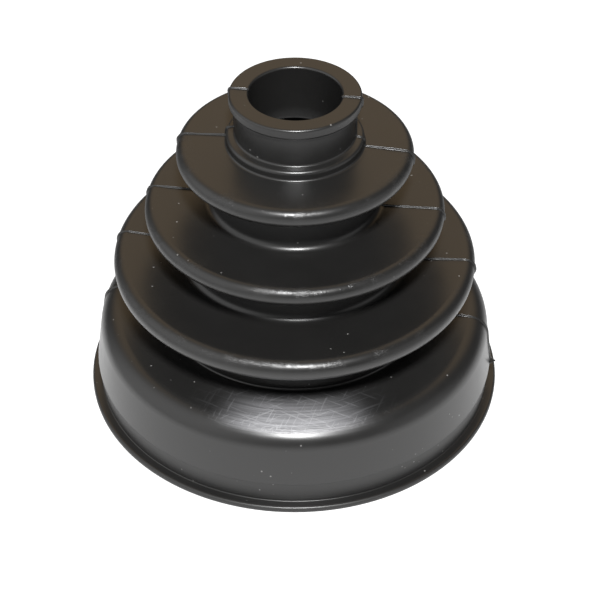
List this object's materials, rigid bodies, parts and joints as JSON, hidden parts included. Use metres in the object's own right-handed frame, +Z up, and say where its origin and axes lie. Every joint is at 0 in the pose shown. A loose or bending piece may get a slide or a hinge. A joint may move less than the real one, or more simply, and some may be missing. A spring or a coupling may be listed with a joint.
{
  "type": "bellows boot",
  "caption": "Black rubber bellows boot: a collar with a clamp-band seat, flat-topped hollow folds that step outwards, and a flanged bowl at the foot.",
  "frame": {"origin": "centre of the foot, in the plane that the flange stands on", "axes": "+Z up the axis of the boot, from the bowl to the collar; +X towards the small tab on the mould line"},
  "size_m": [0.099, 0.099, 0.0807],
  "materials": {
    "rubber": "satin black moulded rubber, with a mould line down each side and fine handling scuffs"
  },
  "bodies": {
    "root": {"boot": "rubber"}
  },
  "joints": []
}
